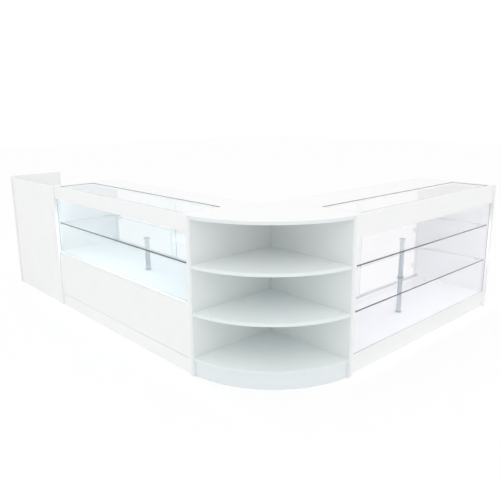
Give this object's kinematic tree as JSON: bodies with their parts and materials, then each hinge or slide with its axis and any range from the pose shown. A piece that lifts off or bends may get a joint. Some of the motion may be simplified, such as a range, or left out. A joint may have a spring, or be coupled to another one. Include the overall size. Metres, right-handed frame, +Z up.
{
  "type": "checkout counter",
  "caption": "L-shaped shop checkout counter: till block, glass display cases with sliding doors, and open quarter-round corner shelves.",
  "frame": {"origin": "on the floor, under the middle of the whole object's bounding box", "axes": "+Z up; the right wing runs along +X with its customer side facing -Y; the left wing runs along +Y with its customer side facing -X"},
  "size_m": [2.24, 3.045, 0.91],
  "materials": {
    "white_board": "white laminated board, satin",
    "clear_glass": "clear float glass with polished green edges",
    "chrome": "bright chrome plate",
    "aluminium": "satin anodised",
    "light_diffuser": "opal, lit from behind",
    "runner_steel": "zinc plated"
  },
  "bodies": {
    "counter": {"corner_base": "white_board", "corner_left_back": "white_board", "corner_lower_shelf": "white_board", "corner_plinth": "white_board", "corner_right_back": "white_board", "corner_top": "white_board", "corner_upper_shelf": "white_board", "drawer_runner_far": "runner_steel", "drawer_runner_near": "runner_steel", "left_base": "white_board", "left_deck": "white_board", "left_fascia": "white_board", "left_front_glass": "clear_glass", "left_inner_side": "white_board", "left_light_channel": "aluminium", "left_light_strip": "light_diffuser", "left_lower_front": "white_board", "left_lower_track": "aluminium", "left_outer_side": "white_board", "left_plinth": "white_board", "left_post": "chrome", "left_rear_plinth": "white_board", "left_shelf": "clear_glass", "left_top_glass": "clear_glass", "left_upper_track": "aluminium", "left_worktop": "white_board", "right_deck": "white_board", "right_fascia": "white_board", "right_front_glass": "clear_glass", "right_inner_side": "white_board", "right_light_channel": "aluminium", "right_light_strip": "light_diffuser", "right_lower_post": "chrome", "right_lower_shelf": "clear_glass", "right_lower_track": "aluminium", "right_outer_side": "white_board", "right_plinth": "white_board", "right_rear_plinth": "white_board", "right_top_glass": "clear_glass", "right_upper_post": "chrome", "right_upper_shelf": "clear_glass", "right_upper_track": "aluminium", "right_worktop": "white_board", "till_base": "white_board", "till_front": "white_board", "till_inner_side": "white_board", "till_outer_side": "white_board", "till_rear_plinth": "white_board", "till_worktop": "white_board"},
    "right_door_a": {"right_glass_door_a": "clear_glass"},
    "right_door_b": {"right_glass_door_b": "clear_glass"},
    "left_door_a": {"left_glass_door_a": "clear_glass"},
    "left_door_b": {"left_glass_door_b": "clear_glass"},
    "store_door_a": {"left_store_door_a": "white_board"},
    "store_door_b": {"left_store_door_b": "white_board"},
    "drawer": {"drawer_box": "white_board", "drawer_front": "white_board", "drawer_handle": "chrome", "drawer_lock": "chrome"}
  },
  "joints": [
    {"name": "right_door_a_slide", "type": "slide", "parent": "counter", "child": "right_door_a", "axis": [1, 0, 0], "range_m": [0, 0.77]},
    {"name": "right_door_b_slide", "type": "slide", "parent": "counter", "child": "right_door_b", "axis": [-1, 0, 0], "range_m": [0, 0.77]},
    {"name": "left_door_a_slide", "type": "slide", "parent": "counter", "child": "left_door_a", "axis": [0, 1, 0], "range_m": [0, 0.772]},
    {"name": "left_door_b_slide", "type": "slide", "parent": "counter", "child": "left_door_b", "axis": [0, -1, 0], "range_m": [0, 0.772]},
    {"name": "store_door_a_slide", "type": "slide", "parent": "counter", "child": "store_door_a", "axis": [0, 1, 0], "range_m": [0, 0.772]},
    {"name": "store_door_b_slide", "type": "slide", "parent": "counter", "child": "store_door_b", "axis": [0, -1, 0], "range_m": [0, 0.772]},
    {"name": "drawer_slide", "type": "slide", "parent": "counter", "child": "drawer", "axis": [1, 0, 0], "range_m": [0, 0.28]}
  ]
}
